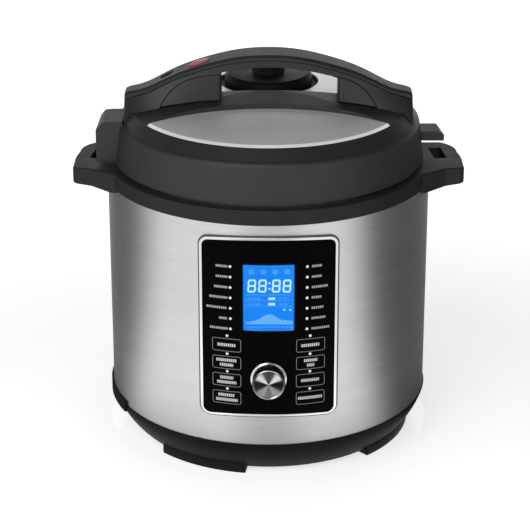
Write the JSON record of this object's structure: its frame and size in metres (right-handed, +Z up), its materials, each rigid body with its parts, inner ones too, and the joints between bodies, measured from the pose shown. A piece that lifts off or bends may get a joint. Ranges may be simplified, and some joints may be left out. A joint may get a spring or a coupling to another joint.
{
  "type": "electric pressure cooker",
  "caption": "Round steel-clad electric pressure cooker with a black twist-off lid, arched carrying handle, side ears, front display panel and rotary knob.",
  "frame": {"origin": "centre of the footprint on the surface it stands on", "axes": "+Z up, -Y towards the user and the control panel, +X to the right as the user faces the panel"},
  "size_m": [0.3238, 0.3032, 0.3282],
  "materials": {
    "black_plastic": "fine satin texture, moulded",
    "lid_plastic": "satin charcoal, moulded",
    "brushed_steel": "brushed round the body",
    "satin_steel": "fine satin sheet",
    "chrome": "bright polished",
    "knob_metal": "spun face, polished rim",
    "gloss_black": "high gloss",
    "display_glass": "clear, polished",
    "display_blue": "back-lit",
    "led_white": "diffusing",
    "red_plastic": "satin",
    "rubber": "matt",
    "silicone": "translucent matt",
    "cast_aluminium": "cast, machined face",
    "pot_steel": "spun inside",
    "circuit_board": "solder mask",
    "white_nylon": "moulded",
    "screw_steel": "zinc plated",
    "pin_brass": "plated",
    "smoke_plastic": "smoked, translucent"
  },
  "bodies": {
    "housing": {"base_bowl": "black_plastic", "bottom_cover": "black_plastic", "base_screws": "screw_steel", "support_bracket": "screw_steel", "steel_shell": "brushed_steel", "upper_collar": "black_plastic", "cooker_liner": "satin_steel", "heating_plate": "cast_aluminium", "sensor_holder": "white_nylon", "pressure_switch": "white_nylon", "thermal_fuse": "white_nylon", "power_board": "circuit_board", "power_inlet": "black_plastic", "inlet_pins": "pin_brass", "cup_bracket": "black_plastic", "panel_frame": "chrome", "panel_gasket": "rubber", "panel_fascia": "gloss_black", "display_window": "display_glass", "indicator_leds": "led_white", "panel_carrier": "black_plastic", "control_board": "circuit_board", "lcd_module": "display_blue", "encoder_body": "white_nylon", "foot_front_left": "rubber", "foot_front_right": "rubber", "foot_rear_right": "rubber", "foot_rear_left": "rubber"},
    "inner_pot": {"inner_pot": "pot_steel"},
    "seal": {"sealing_gasket": "silicone", "gasket_rack": "chrome"},
    "lid": {"lid_shell": "lid_plastic", "steel_inlays": "satin_steel", "inner_lid": "pot_steel", "lid_bolt": "screw_steel", "lid_screws": "screw_steel", "steam_filter": "chrome", "lid_tab_left": "lid_plastic", "lid_tab_right": "lid_plastic", "handle_cover": "lid_plastic", "handle_body": "lid_plastic", "handle_pillar_left": "lid_plastic", "handle_pillar_right": "lid_plastic", "valve_base": "black_plastic", "valve_stem": "chrome"},
    "release_button": {"release_button": "red_plastic"},
    "float_pin": {"float_pin": "red_plastic"},
    "pressure_valve": {"pressure_valve": "black_plastic"},
    "knob": {"control_knob": "knob_metal", "encoder_shaft": "screw_steel"},
    "temperature_sensor": {"temperature_sensor": "cast_aluminium"},
    "condensation_cup": {"condensation_cup": "smoke_plastic"},
    "key_left_1": {"key_left_1": "gloss_black"},
    "key_left_2": {"key_left_2": "gloss_black"},
    "key_left_3": {"key_left_3": "gloss_black"},
    "key_left_4": {"key_left_4": "gloss_black"},
    "key_right_1": {"key_right_1": "gloss_black"},
    "key_right_2": {"key_right_2": "gloss_black"},
    "key_right_3": {"key_right_3": "gloss_black"},
    "key_right_4": {"key_right_4": "gloss_black"}
  },
  "joints": [
    {"name": "pot_lift", "type": "slide", "parent": "housing", "child": "inner_pot", "axis": [0, 0, 1], "range_m": [0, 0.18]},
    {"name": "lid_lift", "type": "slide", "parent": "inner_pot", "child": "seal", "axis": [0, 0, 1], "range_m": [0, 0.12]},
    {"name": "lid_turn", "type": "hinge", "parent": "seal", "child": "lid", "pos_m": [0, 0, 0.24], "axis": [0, 0, 1], "range_deg": [0, 30]},
    {"name": "button_press", "type": "slide", "parent": "lid", "child": "release_button", "axis": [0.3122, 0, -0.95], "range_m": [0, 0.003], "stiffness_N_per_m": 400, "springref_m": -0.001},
    {"name": "float_rise", "type": "slide", "parent": "lid", "child": "float_pin", "axis": [0, 0, 1], "range_m": [0, 0.004]},
    {"name": "valve_turn", "type": "hinge", "parent": "lid", "child": "pressure_valve", "pos_m": [0, 0.062, 0.286], "axis": [0, 0, 1], "range_deg": [-45, 45]},
    {"name": "knob_turn", "type": "hinge", "parent": "housing", "child": "knob", "pos_m": [0, -0.14, 0.0954], "axis": [0, -1, 0], "continuous": true},
    {"name": "sensor_press", "type": "slide", "parent": "housing", "child": "temperature_sensor", "axis": [0, 0, -1], "range_m": [0, 0.0015], "stiffness_N_per_m": 800, "springref_m": -0.0025},
    {"name": "cup_pull", "type": "slide", "parent": "housing", "child": "condensation_cup", "axis": [0, 1, 0], "range_m": [0, 0.025]},
    {"name": "press_left_1", "type": "slide", "parent": "housing", "child": "key_left_1", "axis": [0.2487, 0.9686, 0], "range_m": [0, 0.0005], "stiffness_N_per_m": 500, "springref_m": -0.0002},
    {"name": "press_left_2", "type": "slide", "parent": "housing", "child": "key_left_2", "axis": [0.2487, 0.9686, 0], "range_m": [0, 0.0005], "stiffness_N_per_m": 500, "springref_m": -0.0002},
    {"name": "press_left_3", "type": "slide", "parent": "housing", "child": "key_left_3", "axis": [0.2487, 0.9686, 0], "range_m": [0, 0.0005], "stiffness_N_per_m": 500, "springref_m": -0.0002},
    {"name": "press_left_4", "type": "slide", "parent": "housing", "child": "key_left_4", "axis": [0.2487, 0.9686, 0], "range_m": [0, 0.0005], "stiffness_N_per_m": 500, "springref_m": -0.0002},
    {"name": "press_right_1", "type": "slide", "parent": "housing", "child": "key_right_1", "axis": [-0.2487, 0.9686, 0], "range_m": [0, 0.0005], "stiffness_N_per_m": 500, "springref_m": -0.0002},
    {"name": "press_right_2", "type": "slide", "parent": "housing", "child": "key_right_2", "axis": [-0.2487, 0.9686, 0], "range_m": [0, 0.0005], "stiffness_N_per_m": 500, "springref_m": -0.0002},
    {"name": "press_right_3", "type": "slide", "parent": "housing", "child": "key_right_3", "axis": [-0.2487, 0.9686, 0], "range_m": [0, 0.0005], "stiffness_N_per_m": 500, "springref_m": -0.0002},
    {"name": "press_right_4", "type": "slide", "parent": "housing", "child": "key_right_4", "axis": [-0.2487, 0.9686, 0], "range_m": [0, 0.0005], "stiffness_N_per_m": 500, "springref_m": -0.0002}
  ]
}
